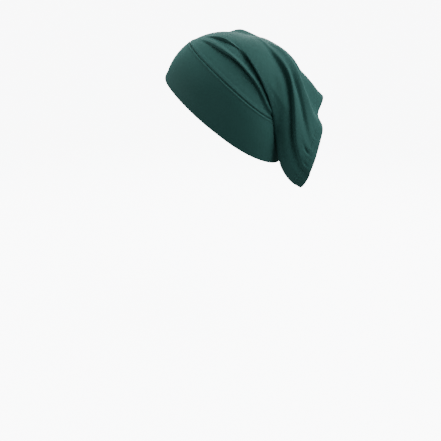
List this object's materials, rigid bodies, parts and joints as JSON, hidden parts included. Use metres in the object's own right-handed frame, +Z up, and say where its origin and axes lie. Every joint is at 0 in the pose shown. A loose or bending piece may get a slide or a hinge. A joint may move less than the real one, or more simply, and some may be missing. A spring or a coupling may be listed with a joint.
{
  "type": "jersey underscarf tube cap",
  "caption": "Plain jersey underscarf cap as worn: a folded band round the head, a tube drawn over the crown, and a hemmed open end hanging folded behind.",
  "frame": {"origin": "the point inside the crown where the cap bears on the top of the head", "axes": "+Z up, -Y toward the forehead, +X toward the wearer's left"},
  "size_m": [0.1631, 0.2541, 0.2212],
  "materials": {
    "band_jersey": "two plies of dark bottle green jersey, folded at the rim, soft sheen",
    "tube_jersey": "one ply of dark bottle green jersey, fine ribs along the tube, soft sheen",
    "hem_jersey": "turned hem of the same jersey, held by a twin row of stitches"
  },
  "bodies": {
    "root": {"front_band": "band_jersey", "crown_tube": "tube_jersey", "back_hem": "hem_jersey"}
  },
  "joints": []
}
